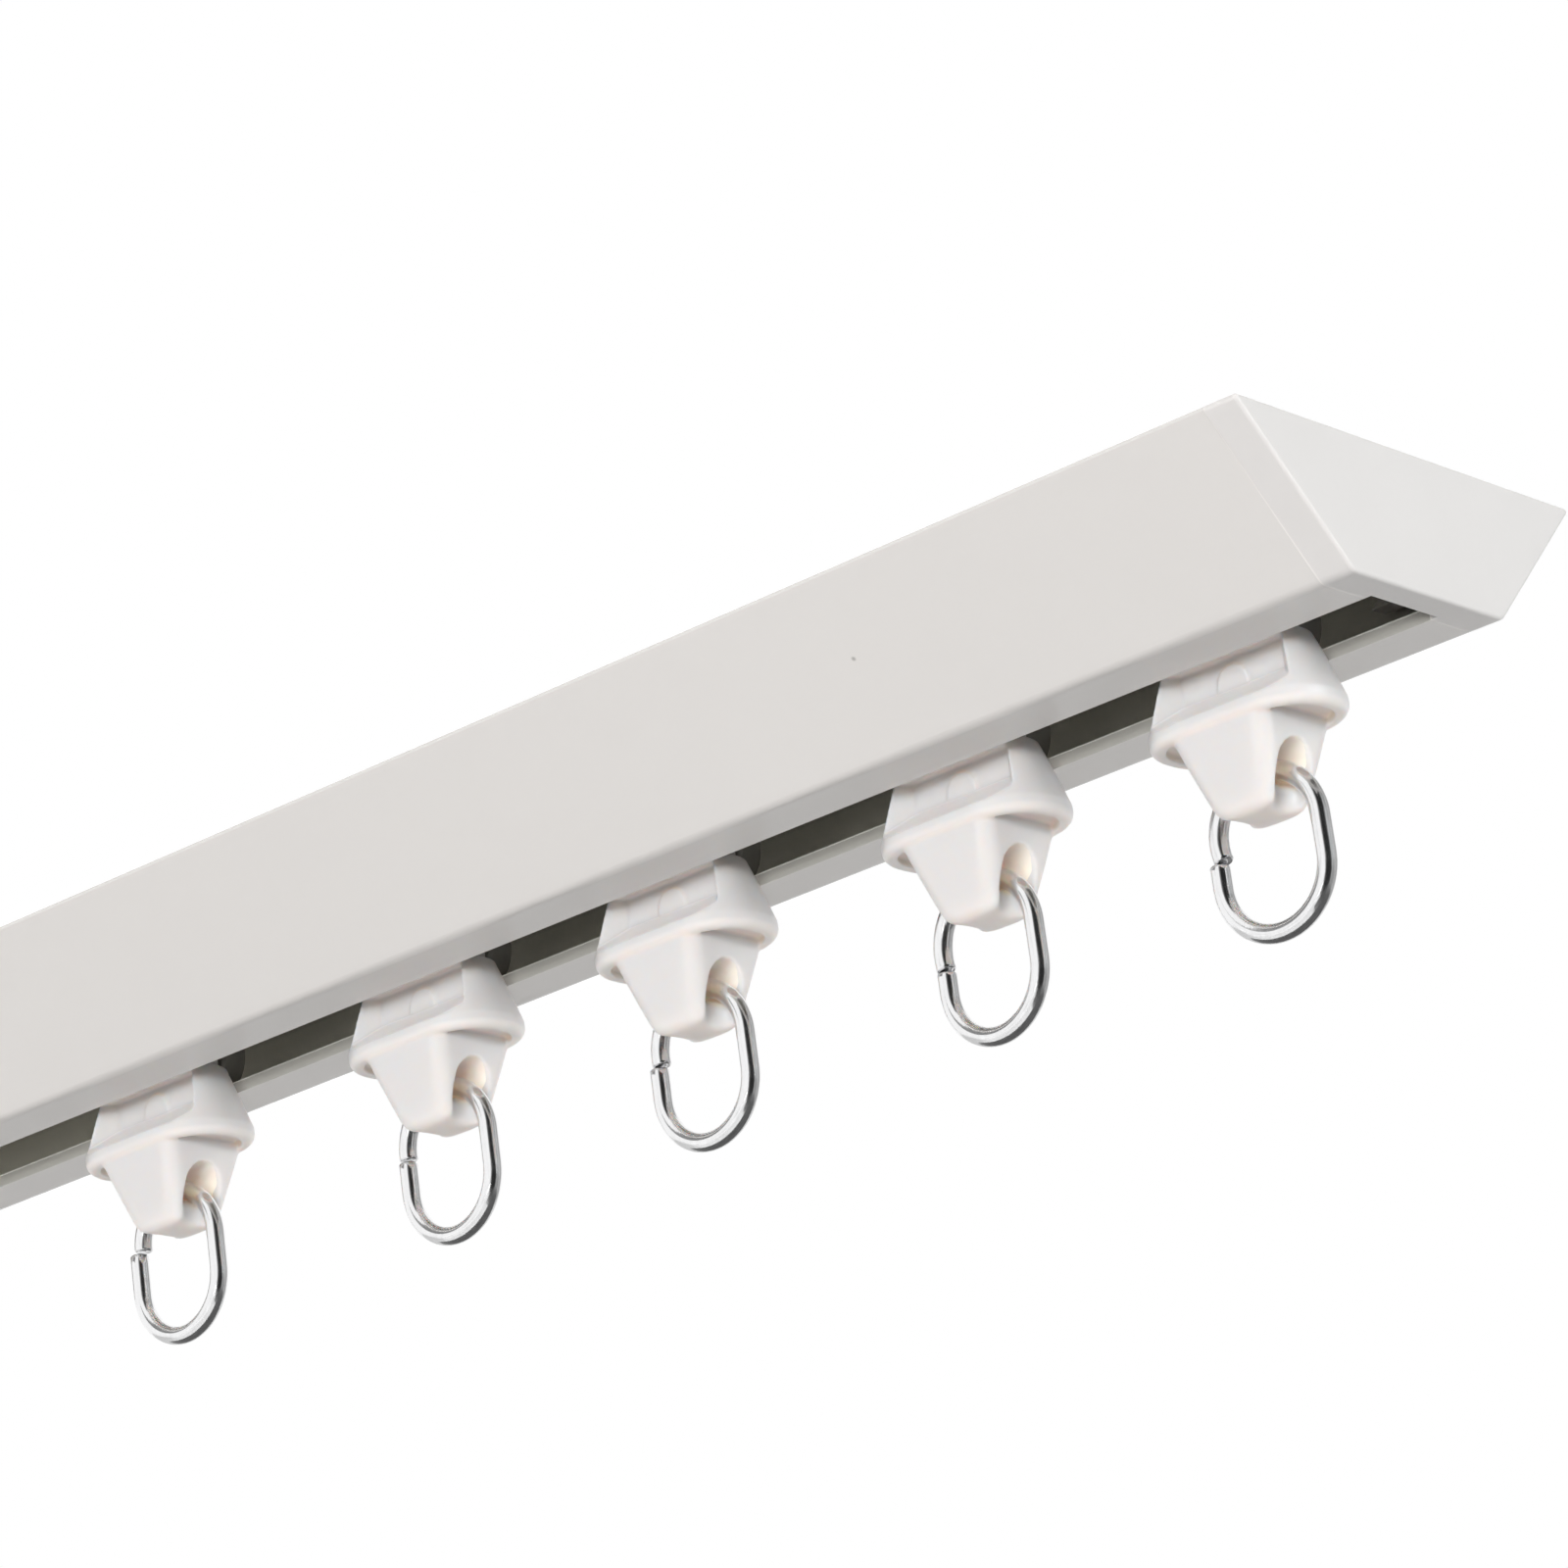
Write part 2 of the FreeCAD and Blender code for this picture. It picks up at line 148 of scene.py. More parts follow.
class TrackGliderSettings(bpy.types.PropertyGroup):
    plastic: bpy.props.FloatVectorProperty(
        name="Plastic", description="Colour of the moulded glider bodies", subtype="COLOR",
        size=3, min=0.0, max=1.0, default=(0.664, 0.654, 0.654))
    # Painted warm shade and glow in hollows, standing in for the shade there and the light that
    # passes through the plastic
    hollow_painted_shade: bpy.props.FloatVectorProperty(
        name="Hollow",
        description="Warmer colour of the plastic in hollows, where light passes through it",
        subtype="COLOR", size=3, min=0.0, max=1.0, default=(0.790, 0.685, 0.560))
    # Painted glow inside the eye, lighter and warmer than the plastic, where shade would fall
    eye: bpy.props.FloatVectorProperty(
        name="Eye", description="Colour inside the eye, where light passes through the plastic",
        subtype="COLOR", size=3, min=0.0, max=1.0, default=(0.950, 0.862, 0.770))
    # Painted light on the downward faces, lighter and warmer than the plastic
    underside_painted_light: bpy.props.FloatVectorProperty(
        name="Under",
        description="Colour of the downward faces, where light passes through the plastic",
        subtype="COLOR", size=3, min=0.0, max=1.0, default=(0.950, 0.870, 0.825))
    wheel: bpy.props.FloatVectorProperty(
        name="Wheel", description="Colour of the wheels inside the rail", subtype="COLOR",
        size=3, min=0.0, max=1.0, default=(0.350, 0.340, 0.315))
    edge_softness: bpy.props.FloatProperty(
        name="Edge Softness", description="Size of the rounding that the mould leaves on the edges",
        unit="LENGTH", min=0.00005, max=0.0005, default=0.00012, precision=5)
    smoothing: bpy.props.IntProperty(
        name="Smoothing", description="Rounds of smoothing over the moulded surface",
        min=0, max=40, default=6)
    foot_height: bpy.props.FloatProperty(
        name="Foot Height", description="Height over which the eye's lower end is rounded more",
        unit="LENGTH", min=0.0, max=0.01, default=0.0046, precision=5)
    foot_rounds: bpy.props.IntProperty(
        name="Foot Rounds", description="Rounds of smoothing at the eye's lower end",
        min=1, max=200, default=130)


class TrackRingSettings(bpy.types.PropertyGroup):
    metal: bpy.props.FloatVectorProperty(
        name="Metal", description="Colour of the plated wire", subtype="COLOR",
        size=3, min=0.0, max=1.0, default=(0.930, 0.930, 0.935))
    joint_gap: bpy.props.FloatProperty(
        name="Joint Gap", description="Gap between the two ends of the wire",
        unit="LENGTH", min=0.0, max=0.0005, default=0.00012, precision=5)
    wire: bpy.props.FloatProperty(
        name="Wire", description="Diameter of the wire",
        unit="LENGTH", min=0.001, max=0.002, default=0.0015, precision=5)
    width: bpy.props.FloatProperty(
        name="Width", description="Width of a ring over the wire",
        unit="LENGTH", min=0.005, max=0.02, default=0.0106, precision=5)
    height: bpy.props.FloatProperty(
        name="Height", description="Height of a ring over the wire",
        unit="LENGTH", min=0.005, max=0.03, default=0.0135, precision=5)
    turn: bpy.props.FloatVectorProperty(
        name="Turn", description="Degrees that each ring hangs turned about the vertical",
        size=5, default=(-0.7, -1.3, -0.8, -3.5, 1.3))
    shift: bpy.props.FloatVectorProperty(
        name="Shift", description="How far each ring hangs off the middle of its eye",
        size=5, unit="LENGTH", default=(-0.00025, 0.0, 0.00025, -0.00028, 0.00025), precision=5)
    joint_height: bpy.props.FloatVectorProperty(
        name="Joint Height", description="Height of each butt joint above the start of the bow",
        size=5, unit="LENGTH", default=(0.00335, 0.0026, 0.0025, 0.00165, 0.0018), precision=5)
    joint_step: bpy.props.FloatVectorProperty(
        name="Joint Step", description="How far each upper end stands inside the lower one",
        size=5, unit="LENGTH", default=(0.0006, 0.00015, 0.00035, 0.00005, 0.00045), precision=5)


class TrackStageSettings(bpy.types.PropertyGroup):
    floor_drop: bpy.props.FloatProperty(
        name="Floor Drop", description="Depth of the floor below the ceiling face",
        unit="LENGTH", min=0.05, max=3.0, default=0.32)
    key: bpy.props.FloatProperty(
        name="Key Light", description="Power of the large lamp in front",
        unit="POWER", min=0.0, max=200.0, default=66.0)
    side: bpy.props.FloatProperty(
        name="Side Light", description="Power of the lamp beyond the right end",
        unit="POWER", min=0.0, max=100.0, default=5.6)
    slot: bpy.props.FloatProperty(
        name="Slot Light", description="Power of the weak lamp that reaches in through the slot",
        unit="POWER", min=0.0, max=20.0, default=0.22)
    behind: bpy.props.FloatProperty(
        name="Light Behind", description="Power of the lamps behind, at the left and on top",
        unit="POWER", min=0.0, max=20.0, default=1.4)
    room: bpy.props.FloatProperty(
        name="Room Light", description="Strength of the even light from all round",
        min=0.0, max=2.0, default=0.30)


# Small tools for meshes

def linked(name, data):
    """A new object in the scene."""
    piece = bpy.data.objects.new(name, data)
    bpy.context.scene.collection.objects.link(piece)
    return piece


def hung_piece(name, mesh, place, body, replaced, turn=0.0):
    """A piece at its place on a body, which stands for a CAD node."""
    piece = linked(name, mesh)
    piece.location = place
    piece.rotation_euler.z = turn
    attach(piece, body)
    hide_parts(replaced)


def welded_copy(node, origin):
    """Mesh of a CAD node about a new origin, with its split corners joined."""
    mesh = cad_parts[node].data.copy()
    mesh.transform(Matrix.Translation(-origin))
    form = bmesh.new()
    form.from_mesh(mesh)
    bmesh.ops.remove_doubles(form, verts=form.verts, dist=1e-6)
    form.to_mesh(mesh)
    form.free()
    mesh.materials.clear()
    return mesh


def moulded(mesh, voxel, rounds):
    """The mesh as a mould would leave it, with every sharp edge softly rounded."""
    worker = linked("moulding", mesh)
    remesh = worker.modifiers.new("Skin", "REMESH")
    remesh.mode = "VOXEL"
    remesh.voxel_size = voxel
    smooth = worker.modifiers.new("Soften", "SMOOTH")
    smooth.factor = 0.5
    smooth.iterations = rounds
    bpy.context.view_layer.update()
    evaluated = worker.evaluated_get(bpy.context.evaluated_depsgraph_get())
    result = bpy.data.meshes.new_from_object(evaluated)
    bpy.data.objects.remove(worker)
    for face in result.polygons:
        face.use_smooth = True
    return result


def rounded_foot(mesh, height, rounds):
    """Rounds the lower end of a moulding, more and more towards its foot."""
    form = bmesh.new()
    form.from_mesh(mesh)
    foot = min(vertex.co.z for vertex in form.verts)
    for turn in range(rounds):
        limit = foot + height * (1.0 - turn / rounds)
        low = [vertex for vertex in form.verts if vertex.co.z < limit]
        bmesh.ops.smooth_vert(
            form, verts=low, factor=0.5, use_axis_x=True, use_axis_y=True, use_axis_z=True)
    form.to_mesh(mesh)
    form.free()


def swept_wire(name, path, radius, sides):
    """Round wire along a path of points in the XZ plane, with slightly eased ends."""
    form = bmesh.new()
    loops = []
    last = len(path) - 1
    ease = radius * 0.18
    stations = [(0, 0.0, radius - ease), (0, ease, radius)]
    stations += [(index, 0.0, radius) for index in range(1, last)]
    stations += [(last, -ease, radius), (last, 0.0, radius - ease)]
    for index, along, size in stations:
        before, after = path[max(index - 1, 0)], path[min(index + 1, last)]
        tangent = (after - before).normalized()
        side = Vector((tangent.z, 0.0, -tangent.x))
        centre = path[index] + tangent * along
        loop = []
        for k in range(sides):
            turn = 2 * math.pi * k / sides
            outward = side * (size * math.cos(turn))
            along_y = Vector((0, size * math.sin(turn), 0))
            loop.append(form.verts.new(centre + outward + along_y))
        loops.append(loop)
    for one, two in zip(loops, loops[1:]):
        for k in range(sides):
            form.faces.new((one[k], one[(k + 1) % sides], two[(k + 1) % sides], two[k]))
    form.faces.new(loops[0])
    form.faces.new(list(reversed(loops[-1])))
    bmesh.ops.recalc_face_normals(form, faces=form.faces)
    mesh = bpy.data.meshes.new(name)
    form.to_mesh(mesh)
    form.free()
    for face in mesh.polygons:
        face.use_smooth = len(face.vertices) == 4
    return mesh


# Small tools for materials

class Recipe:
    """A new material with its shader, and short ways to add the nodes that feed it."""

    def __init__(self, name, roughness, metallic=0.0):
        self.material = bpy.data.materials.new(name)
        self.material.use_nodes = True
        self.nodes = self.material.node_tree.nodes
        self.links = self.material.node_tree.links
        self.shader = self.nodes["Principled BSDF"]
        self.shader.inputs["Roughness"].default_value = roughness
        self.shader.inputs["Metallic"].default_value = metallic
        self.place = self.nodes.new("ShaderNodeTexCoord").outputs["Object"]

    def stretched(self, scale):
        mapping = self.nodes.new("ShaderNodeMapping")
        mapping.inputs["Scale"].default_value = scale
        self.links.new(self.place, mapping.inputs["Vector"])
        return mapping.outputs["Vector"]

    def noise(self, scale, detail=3.0, vector=None):
        noise = self.nodes.new("ShaderNodeTexNoise")
        noise.inputs["Scale"].default_value = scale
        noise.inputs["Detail"].default_value = detail
        self.links.new(vector or self.place, noise.inputs["Vector"])
        return noise.outputs["Fac"]

    def spread(self, value, low, high, start=0.3, stop=0.7):
        """Brings a noise's middle values to the range from low to high."""
        ranged = self.nodes.new("ShaderNodeMapRange")
        ranged.inputs["From Min"].default_value = start
        ranged.inputs["From Max"].default_value = stop
        ranged.inputs["To Min"].default_value = low
        ranged.inputs["To Max"].default_value = high
        self.links.new(value, ranged.inputs["Value"])
        return ranged.outputs["Result"]

    def axes(self):
        """The place on the object, as separate X, Y and Z values."""
        split = self.nodes.new("ShaderNodeSeparateXYZ")
        self.links.new(self.place, split.inputs["Vector"])
        return split.outputs["X"], split.outputs["Y"], split.outputs["Z"]

    def sum(self, operation, first, second=None):
        """One step of arithmetic on a value, with a number or another value."""
        step = self.nodes.new("ShaderNodeMath")
        step.operation = operation
        self.links.new(first, step.inputs[0])
        if isinstance(second, bpy.types.NodeSocket):
            self.links.new(second, step.inputs[1])
        elif second is not None:
            step.inputs[1].default_value = second
        return step.outputs["Value"]

    def mixed(self, factor, first, second):
        mix = self.nodes.new("ShaderNodeMix")
        mix.data_type = "RGBA"
        self.links.new(factor, mix.inputs["Factor"])
        for socket, colour in ((mix.inputs["A"], first), (mix.inputs["B"], second)):
            if isinstance(colour, bpy.types.NodeSocket):
                self.links.new(colour, socket)
            else:
                socket.default_value = (*colour, 1.0)
        return mix.outputs["Result"]

    def colour(self, socket):
        self.links.new(socket, self.shader.inputs["Base Color"])

    def rough(self, socket):
        self.links.new(socket, self.shader.inputs["Roughness"])

    def bump(self, height, distance):
        bump = self.nodes.new("ShaderNodeBump")
        bump.inputs["Distance"].default_value = distance
        self.links.new(height, bump.inputs["Height"])
        self.links.new(bump.outputs["Normal"], self.shader.inputs["Normal"])

    def glow(self, socket):
        """White light of its own, as strong as a value."""
        self.shader.inputs["Emission Color"].default_value = (*WHITE, 1.0)
        self.links.new(socket, self.shader.inputs["Emission Strength"])


def shade(colour, factor):
    return tuple(min(1.0, channel * factor) for channel in colour)


# Finishes

def rail_paint(settings):
    """Satin paint outside, bare metal on the faces inside the channel, painted shade on the slot's
    edge faces, and a painted highlight along the seam at the right end.
    """
    recipe = Recipe("satin rail paint", settings.gloss)
    low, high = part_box("rail")
    patches = recipe.spread(recipe.noise(scale=18.0, detail=2.0), 0.0, 1.0)
    paint = recipe.mixed(patches, settings.paint, shade(settings.paint, 0.985))
    x, y, z = recipe.axes()
    across = recipe.sum("ABSOLUTE", y)
    lean = recipe.sum("MULTIPLY", z, (high.y - RAIL_FOOT) / (high.z - low.z))
    depth = recipe.sum("SUBTRACT", across, lean)
    within = recipe.sum("LESS_THAN", depth, high.y - WALL_DEPTH)
    above_lip = recipe.sum("GREATER_THAN", z, low.z + LIP_DEPTH)
    below_top = recipe.sum("LESS_THAN", z, high.z - WALL_DEPTH)
    hidden = recipe.sum("MULTIPLY", within, recipe.sum("MULTIPLY", above_lip, below_top))
    # Painted shade: the slot's edge faces at the lips get the bare-metal colour darkened to 0.55
    edge = recipe.sum("LESS_THAN", across, SLOT_EDGE + SLACK)
    edge = recipe.sum("MULTIPLY", edge, recipe.sum("LESS_THAN", z, low.z + LIP_EDGE))
    coat = recipe.mixed(edge, paint, shade(settings.inside, 0.55))
    coat = recipe.mixed(hidden, coat, settings.inside)
    # Painted highlight: a thin strip at the rail's right end, by the cap, gets the paint colour
    # lightened to 1.16
    seam_highlight = recipe.sum("GREATER_THAN", x, high.x - SEAM_HIGHLIGHT_WIDTH)
    coat = recipe.mixed(seam_highlight, coat, shade(settings.paint, 1.16))
    speck = recipe.nodes.new("ShaderNodeVectorMath")
    speck.operation = "DISTANCE"
    recipe.links.new(recipe.place, speck.inputs[0])
    speck.inputs[1].default_value = SPECK
    dirt = recipe.spread(speck.outputs["Value"], 0.55, 0.0, start=0.00008, stop=0.00024)
    recipe.colour(recipe.mixed(dirt, coat, SPECK_COLOUR))
    peel = recipe.noise(scale=900.0, detail=2.0)
    film = recipe.noise(scale=60.0, detail=2.0)
    film = recipe.spread(film, settings.gloss - 0.02, settings.gloss + 0.03)
    recipe.rough(recipe.sum("MAXIMUM", film, recipe.sum("MULTIPLY", hidden, 0.45)))
    recipe.bump(peel, distance=0.000002)
    return recipe.material


def cap_plastic(settings):
    recipe = Recipe("moulded cap plastic", roughness=0.34)
    cloudy = recipe.spread(recipe.noise(scale=120.0), 0.0, 1.0)
    recipe.colour(recipe.mixed(cloudy, settings.cap, shade(settings.cap, 0.98)))
    grain = recipe.noise(scale=2600.0, detail=2.0)
    recipe.rough(recipe.spread(grain, 0.30, 0.40))
    recipe.bump(grain, distance=0.000003)
    return recipe.material


def eye_glow_mask(recipe, y, z):
    """A value of 1 inside the arch of the eye, fading out below it, where the painted glow inside
    the eye goes.
    """
    above = recipe.sum("MAXIMUM", recipe.sum("SUBTRACT", z, EYE_CENTRE), 0.0)
    y_square, z_square = recipe.sum("MULTIPLY", y, y), recipe.sum("MULTIPLY", above, above)
    within = recipe.sum("LESS_THAN", recipe.sum("ADD", y_square, z_square), EYE_RADIUS ** 2)
    fade = recipe.spread(
        z, 0.0, 1.0, start=EYE_CENTRE - EYE_FADE_END, stop=EYE_CENTRE - EYE_FADE_START)
    return recipe.sum("MULTIPLY", within, fade)


def glider_plastic(settings):
    """Milky plastic, with painted warm shade in the hollows, a painted glow in the eye, and painted
    light on the ramp's upward faces and on the faces that look down.
    """
    recipe = Recipe("moulded glider plastic", roughness=0.32)
    cloudy = recipe.spread(recipe.noise(scale=160.0), 0.0, 1.0)
    plain = recipe.mixed(cloudy, settings.plastic, shade(settings.plastic, 0.975))
    # Painted warm shade and glow: the colour moves towards the hollow colour where ambient
    # occlusion finds the surface closed in
    hollow_painted_shade = recipe.nodes.new("ShaderNodeAmbientOcclusion")
    hollow_painted_shade.samples = 8
    hollow_painted_shade.inputs["Distance"].default_value = 0.0035
    hollow_shade_amount = recipe.spread(hollow_painted_shade.outputs["AO"], 1.0, 0.0, start=0.05, stop=0.50)
    colour_with_painted_light = recipe.mixed(hollow_shade_amount, plain, settings.hollow_painted_shade)
    y, z = recipe.axes()[1:]
    # Painted glow: the inside of the eye gets the lighter, warmer eye colour
    colour_with_painted_light = recipe.mixed(eye_glow_mask(recipe, y, z), colour_with_painted_light, settings.eye)
    facing = recipe.nodes.new("ShaderNodeNewGeometry")
    upward = recipe.nodes.new("ShaderNodeSeparateXYZ")
    recipe.links.new(facing.outputs["Normal"], upward.inputs["Vector"])
    # Painted light: upward faces of the ramp between its top and foot get the plastic colour
    # lightened to 1.25
    ramp_painted_light = recipe.spread(upward.outputs["Z"], 0.0, 1.0, start=0.4, stop=0.7)
    for operation, height in (("LESS_THAN", RAMP_TOP), ("GREATER_THAN", RAMP_FOOT)):
        ramp_painted_light = recipe.sum("MULTIPLY", ramp_painted_light, recipe.sum(operation, z, height))
    colour_with_painted_light = recipe.mixed(ramp_painted_light, colour_with_painted_light, shade(settings.plastic, 1.25))
    # Painted light: faces that look down move towards the lighter, warmer underside colour
    underside_painted_light = recipe.spread(upward.outputs["Z"], 0.85, 0.0, start=-1.0, stop=-0.15)
    recipe.colour(recipe.mixed(underside_painted_light, colour_with_painted_light, settings.underside_painted_light))
    recipe.shader.inputs["Subsurface Weight"].default_value = 0.60
    recipe.shader.inputs["Subsurface Radius"].default_value = (1.0, 0.72, 0.55)
    recipe.shader.inputs["Subsurface Scale"].default_value = 0.0022
    ripple = recipe.noise(scale=700.0, detail=2.0)
    recipe.rough(recipe.spread(recipe.noise(scale=1400.0, detail=2.0), 0.28, 0.38))
    recipe.bump(ripple, distance=0.00001)
    return recipe.material


def wheel_plastic(settings):
    recipe = Recipe("moulded wheel plastic", roughness=0.40)
    cloudy = recipe.spread(recipe.noise(scale=300.0), 0.0, 1.0)
    recipe.colour(recipe.mixed(cloudy, settings.wheel, shade(settings.wheel, 0.85)))
    scuffs = recipe.noise(scale=1200.0)
    recipe.rough(recipe.spread(scuffs, 0.34, 0.50))
    recipe.bump(scuffs, distance=0.000006)
    return recipe.material


def ring_metal(settings):
    """Bright plating with fine streaks along the wire."""
    recipe = Recipe("plated ring wire", roughness=0.10, metallic=1.0)
    drawn = recipe.noise(scale=1.0, vector=recipe.stretched((2600.0, 2600.0, 90.0)))
    streaks = recipe.spread(drawn, 0.0, 1.0)
    recipe.colour(recipe.mixed(streaks, settings.metal, shade(settings.metal, 0.93)))
    recipe.rough(recipe.spread(recipe.noise(scale=900.0, detail=2.0), 0.12, 0.20))
    recipe.bump(drawn, distance=0.000008)
    return recipe.material


def axle_metal(settings):
    """Duller wire with fine streaks along the axle."""
    recipe = Recipe("drawn axle wire", roughness=0.30, metallic=1.0)
    turned = recipe.noise(scale=1.0, vector=recipe.stretched((3000.0, 100.0, 3000.0)))
    streaks = recipe.spread(turned, 0.0, 1.0)
    light, dark = shade(settings.metal, 0.80), shade(settings.metal, 0.70)
    recipe.colour(recipe.mixed(streaks, light, dark))
    recipe.rough(recipe.spread(turned, 0.22, 0.36))
    recipe.bump(turned, distance=0.000003)
    return recipe.material


def finish_node(node, material):
    """Gives a CAD node its finish."""
    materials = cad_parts[node].data.materials
    materials.clear()
    materials.append(material)


# Pieces

class TRACK_OT_rail(bpy.types.Operator):
    """Paint the rail and finish its two end caps"""
    bl_idname = "track.rail"
    bl_label = "Rail and Caps"

    def execute(self, context):
        settings = context.scene.track_rail
        finish_node("rail", rail_paint(settings))
        plastic = cap_plastic(settings)
        for node in ("right_end_cap", "left_end_cap"):
            finish_node(node, plastic)
        return {"FINISHED"}


class TRACK_OT_gliders(bpy.types.Operator):
    """Make the moulded glider bodies, each with softly rounded edges"""
    bl_idname = "track.gliders"
    bl_label = "Gliders"

    def execute(self, context):
        settings = context.scene.track_glider
        sharp = welded_copy("glider_body_1", middle_of("wheel_axle_1"))
        mesh = moulded(sharp, settings.edge_softness, settings.smoothing)
        rounded_foot(mesh, settings.foot_height, settings.foot_rounds)
        mesh.name = "glider_moulding"
        mesh.materials.append(glider_plastic(settings))
        for number in GLIDERS:
            hung_piece(
                "glider_moulding_%d" % number, mesh, middle_of("wheel_axle_%d" % number),
                "glider_%d" % number, "glider_body_%d" % number)
        return {"FINISHED"}


class TRACK_OT_wheels(bpy.types.Operator):
    """Finish the wheels and the axles inside the rail"""
    bl_idname = "track.wheels"
    bl_label = "Wheels and Axles"

    def execute(self, context):
        plastic = wheel_plastic(context.scene.track_glider)
        metal = axle_metal(context.scene.track_ring)
        for number in GLIDERS:
            finish_node("wheel_axle_%d" % number, metal)
            for node in ("front_wheel_%d" % number, "rear_wheel_%d" % number):
                finish_node(node, plastic)
        return {"FINISHED"}


def arc(centre, radius, start, stop, count):
    """Points of an arc in the XZ plane, from one angle to another."""
    angles = [start + (stop - start) * i / count for i in range(count + 1)]
    return [Vector((radius * math.cos(a), 0, centre + radius * math.sin(a))) for a in angles]


def ring_path(settings, joint_height, step):
    """Centreline of a bent wire about the middle of its top, from its upper end to its lower."""
    half = (settings.width - settings.wire) / 2
    low = -settings.height + settings.wire + half
    joint = low + joint_height
    end = Vector((step - half, 0, joint + settings.joint_gap / 2))
    radius = (end.x ** 2 + end.z ** 2) / (-2 * end.z)
    sweep = math.pi / 2 + math.asin((-radius - end.z) / radius)
    points = arc(-radius, radius, math.pi / 2 + sweep, math.pi / 2, CROWN_POINTS)
    points += arc(-half, half, math.pi / 2, 0, SHOULDER_POINTS)[1:]
    for i in range(1, STRAIGHT_POINTS):
        points.append(Vector((half, 0, -half + (low + half) * i / STRAIGHT_POINTS)))
    points += arc(low, half, 0, -math.pi, BOW_POINTS)
    rise = joint - settings.joint_gap / 2 - low
    for i in range(1, END_POINTS + 1):
        points.append(Vector((-half, 0, low + rise * i / END_POINTS)))
    return points


class TRACK_OT_rings(bpy.types.Operator):
    """Bend the wire rings that hang in the glider eyes"""
    bl_idname = "track.rings"
    bl_label = "Rings"

    def execute(self, context):
        settings = context.scene.track_ring
        metal = ring_metal(settings)
        for index, number in enumerate(GLIDERS):
            path = ring_path(settings, settings.joint_height[index], settings.joint_step[index])
            mesh = swept_wire("bent_wire_%d" % number, path, settings.wire / 2, WIRE_SIDES)
            mesh.materials.append(metal)
            centre = middle_of("wheel_axle_%d" % number)
            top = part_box("ring_%d" % number)[1].z - settings.wire / 2
            hung_piece(
                mesh.name, mesh, (centre.x + settings.shift[index], centre.y, top),
                "ring_body_%d" % number, "ring_%d" % number,
                math.radians(settings.turn[index]))
        return {"FINISHED"}


# Stage

def lamp(name, place, target, size, power):
    light = bpy.data.lights.new(name, "AREA")
    light.shape = "RECTANGLE"
    light.size, light.size_y = size
    light.energy = power
    holder = linked(name, light)
    holder.location = place
    aim = Vector(target) - Vector(place)
    holder.rotation_euler = aim.to_track_quat("-Z", "Y").to_euler()
    holder.visible_camera = False
    holder.visible_glossy = name == MIRRORED_LAMP
    light.color = MIRRORED_TINT if name == MIRRORED_LAMP else WHITE


def sheet(recipe, name, size):
    """Flat rectangle of the stage, with a recipe's material."""
    x, y = size[0] / 2, size[1] / 2
    mesh = bpy.data.meshes.new(name)
    mesh.from_pydata([(-x, -y, 0), (x, -y, 0), (x, y, 0), (-x, y, 0)], [], [(0, 1, 2, 3)])
    mesh.materials.append(recipe.material)
    piece = linked(name, mesh)
    return piece


def card(name, place, angles, size, middle, sides):
    """Sheet round the track that only mirrors see, its glow running from middle to sides."""
    recipe = Recipe(name, roughness=0.9)
    recipe.shader.inputs["Specular IOR Level"].default_value = 0.0
    recipe.shader.inputs["Base Color"].default_value = (0.02, 0.02, 0.02, 1.0)
    off_middle = recipe.sum("ABSOLUTE", recipe.axes()[0])
    glow = recipe.spread(off_middle, middle, sides, start=size[0] / 4, stop=size[0] / 2)
    uneven = recipe.spread(recipe.noise(scale=14.0, detail=4.0), 0.6, 1.4)
    recipe.glow(recipe.sum("MULTIPLY", glow, uneven))
    piece = sheet(recipe, name, size)
    piece.location = place
    piece.rotation_euler = angles
    piece.visible_camera = False
    piece.visible_diffuse = False
    piece.visible_transmission = False
    piece.visible_shadow = False


def cards(lowest):
    """All the cards, with nothing of them below the lowest height."""
    for name, azimuth, width, low, high, middle, sides in UPRIGHT_CARDS:
        low = lowest if low is None else low
        turn = math.radians(azimuth)
        x = CARD_CENTRE + CARD_REACH * math.cos(turn)
        place = (x, CARD_REACH * math.sin(turn), (low + high) / 2)
        angles = (math.pi / 2, 0.0, turn + math.pi / 2)
        card(name, place, angles, (width, high - low), middle, sides)
    for name, place, size, middle, sides in FLAT_CARDS:
        card(name, (*place, lowest + CARD_LIFT), (0.0, 0.0, 0.0), size, middle, sides)


def seen_directly(nodes, links):
    """A value of 1 for the rays of the camera, a mirror or a clear material."""
    rays = nodes.new("ShaderNodeLightPath")
    value = rays.outputs["Is Camera Ray"]
    for kind in ("Is Glossy Ray", "Is Transmission Ray"):
        either = nodes.new("ShaderNodeMath")
        either.operation = "MAXIMUM"
        links.new(value, either.inputs[0])
        links.new(rays.outputs[kind], either.inputs[1])
        value = either.outputs["Value"]
    return value


def room(strength):
    """Even light from all round, with plain white where the camera or a mirror sees it."""
    world = bpy.data.worlds.new("plain room")
    bpy.context.scene.world = world
    world.use_nodes = True
    nodes, links = world.node_tree.nodes, world.node_tree.links
    light = nodes["Background"]
    light.inputs["Color"].default_value = (1.0, 0.995, 0.985, 1.0)
    light.inputs["Strength"].default_value = strength
    white = nodes.new("ShaderNodeBackground")
    white.inputs["Color"].default_value = (*WHITE, 1.0)
    choice = nodes.new("ShaderNodeMixShader")
    links.new(seen_directly(nodes, links), choice.inputs["Fac"])
    links.new(light.outputs["Background"], choice.inputs[1])
    links.new(white.outputs["Background"], choice.inputs[2])
    links.new(choice.outputs["Shader"], nodes["World Output"].inputs["Surface"])


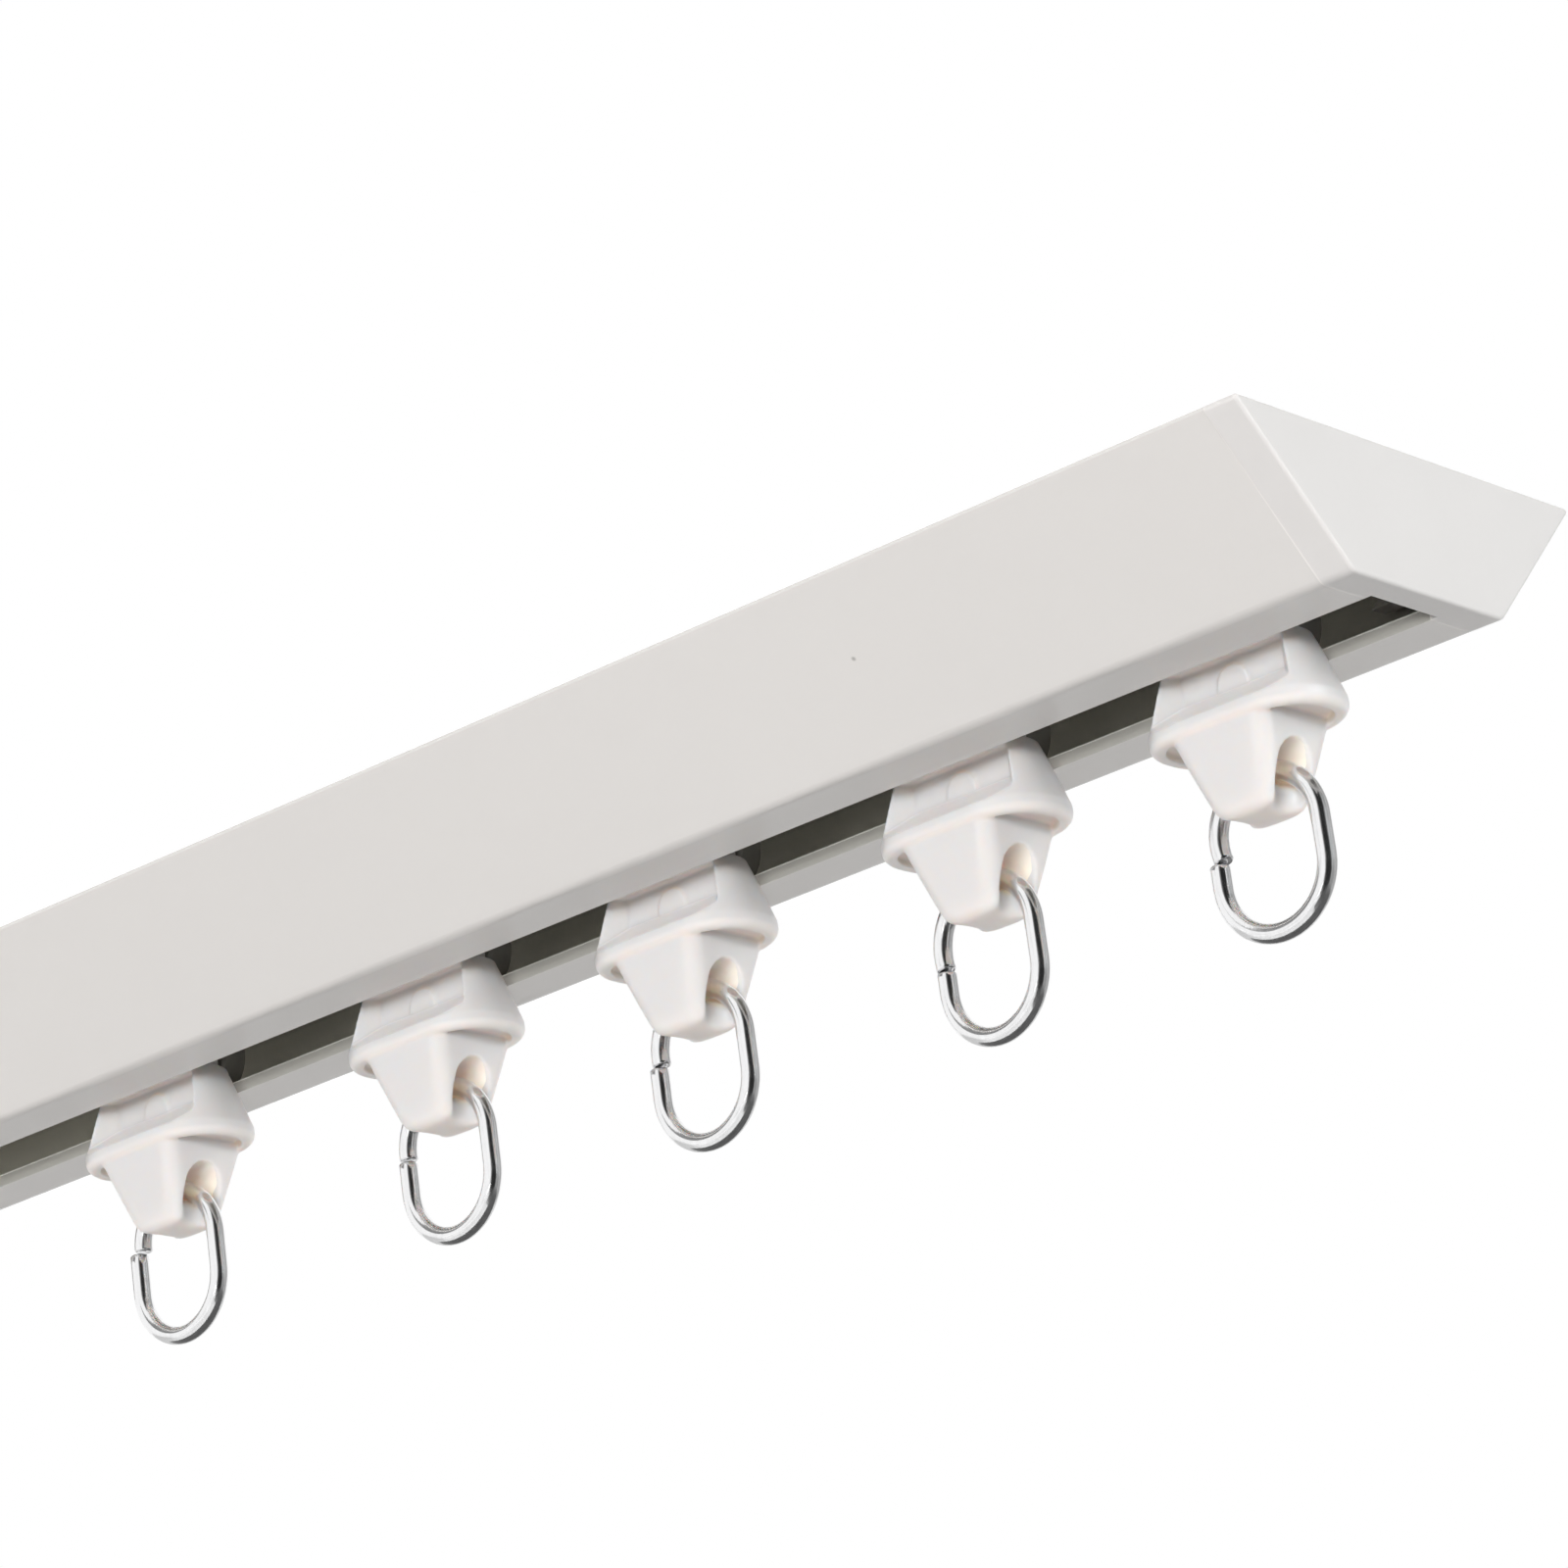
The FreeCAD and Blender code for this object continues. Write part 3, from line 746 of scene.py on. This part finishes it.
def floor(drop):
    """Pale floor that keeps the track's shadow, and a little lighter where it is seen."""
    recipe = Recipe("pale floor", roughness=0.9)
    recipe.shader.inputs["Specular IOR Level"].default_value = 0.1
    recipe.colour(recipe.mixed(recipe.noise(scale=3.0), shade(WHITE, 0.61), shade(WHITE, 0.63)))
    seen = seen_directly(recipe.nodes, recipe.links)
    recipe.glow(recipe.sum("MULTIPLY", seen, FLOOR_GLOW))
    sheet(recipe, "floor", (FLOOR_SIZE, FLOOR_SIZE)).location = (0.0, 0.0, -drop)


def camera():
    """The photograph's view, from below and in front, past the right end."""
    lens = bpy.data.cameras.new("photograph")
    lens.sensor_width = 36.0
    lens.lens = LENS
    lens.clip_start = 0.01
    lens.clip_end = 20.0
    eye = linked("photograph", lens)
    yaw, pitch, roll = (math.radians(angle) for angle in VIEW_ANGLES)
    turn = Matrix.Rotation(yaw, 4, "Z") @ Matrix.Rotation(math.pi / 2 + pitch, 4, "X")
    turn = turn @ Matrix.Rotation(-roll, 4, "Z")
    eye.matrix_world = Matrix.Translation(Vector(VIEW_PLACE)) @ turn
    bpy.context.scene.camera = eye


class TRACK_OT_stage(bpy.types.Operator):
    """Set up the floor, the soft lamps and the camera"""
    bl_idname = "track.stage"
    bl_label = "Stage"

    def execute(self, context):
        settings = context.scene.track_stage
        context.scene.view_settings.view_transform = "Standard"
        room(settings.room)
        floor(settings.floor_drop)
        for name, place, target, size, power, share in LAMPS:
            lamp(name, place, target, size, getattr(settings, power) * share)
        cards(CARD_LIFT - settings.floor_drop)
        camera()
        return {"FINISHED"}


class TRACK_PT_panel(bpy.types.Panel):
    """Lists the track's operators in the sidebar"""
    bl_idname = "TRACK_PT_panel"
    bl_label = "Curtain Track"
    bl_space_type = "VIEW_3D"
    bl_region_type = "UI"
    bl_category = "Track"

    def draw(self, context):
        for operator in OPERATORS:
            self.layout.operator(operator.bl_idname)


SETTINGS = {
    "track_rail": TrackRailSettings,
    "track_glider": TrackGliderSettings,
    "track_ring": TrackRingSettings,
    "track_stage": TrackStageSettings,
}
OPERATORS = (TRACK_OT_rail, TRACK_OT_gliders, TRACK_OT_wheels, TRACK_OT_rings, TRACK_OT_stage)


def register():
    for group in SETTINGS.values():
        bpy.utils.register_class(group)
    for name, group in SETTINGS.items():
        setattr(bpy.types.Scene, name, bpy.props.PointerProperty(type=group))
    for operator in OPERATORS:
        bpy.utils.register_class(operator)
    bpy.utils.register_class(TRACK_PT_panel)


def unregister():
    bpy.utils.unregister_class(TRACK_PT_panel)
    for operator in reversed(OPERATORS):
        bpy.utils.unregister_class(operator)
    for name, group in reversed(SETTINGS.items()):
        delattr(bpy.types.Scene, name)
        bpy.utils.unregister_class(group)


def main():
    register()
    bpy.ops.track.rail()
    bpy.ops.track.gliders()
    bpy.ops.track.wheels()
    bpy.ops.track.rings()
    bpy.ops.track.stage()


if __name__ == "__main__":
    main()
